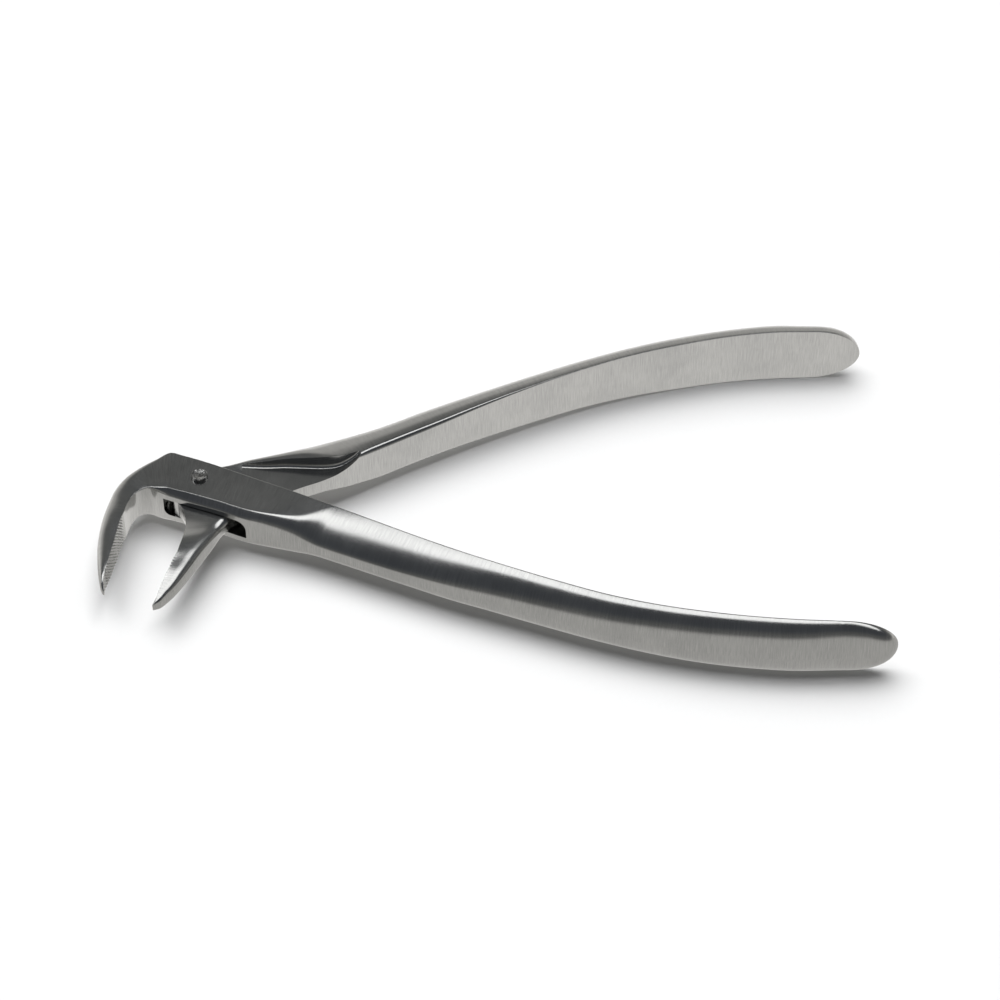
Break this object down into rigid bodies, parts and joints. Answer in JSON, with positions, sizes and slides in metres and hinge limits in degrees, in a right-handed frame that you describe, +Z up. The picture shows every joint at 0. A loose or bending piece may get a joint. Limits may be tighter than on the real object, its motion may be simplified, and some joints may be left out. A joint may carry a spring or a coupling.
{
  "type": "extraction forceps",
  "caption": "Lower extraction forceps with a box joint: serrated beaks bent square to long curved handles, pivoting on a riveted pin.",
  "frame": {"origin": "centre of the pivot pin's flat lower end, on the hinge axis, level with the underside of the box", "axes": "+X from the hinge along the middle between the two handles, -Y the way the beaks point, +Z up along the hinge axis as the instrument lies on its side"},
  "size_m": [0.1551, 0.0911, 0.0132],
  "materials": {
    "satin_steel": "satin brushed stainless steel, grain across the length",
    "pin_steel": "peened and polished stainless steel"
  },
  "bodies": {
    "female": {"female_half": "satin_steel", "pivot_pin": "pin_steel"},
    "male": {"male_half": "satin_steel"}
  },
  "joints": [
    {"name": "pivot", "type": "hinge", "parent": "female", "child": "male", "pos_m": [0, 0, 0], "axis": [0, 0, 1], "range_deg": [-18, 10]}
  ]
}
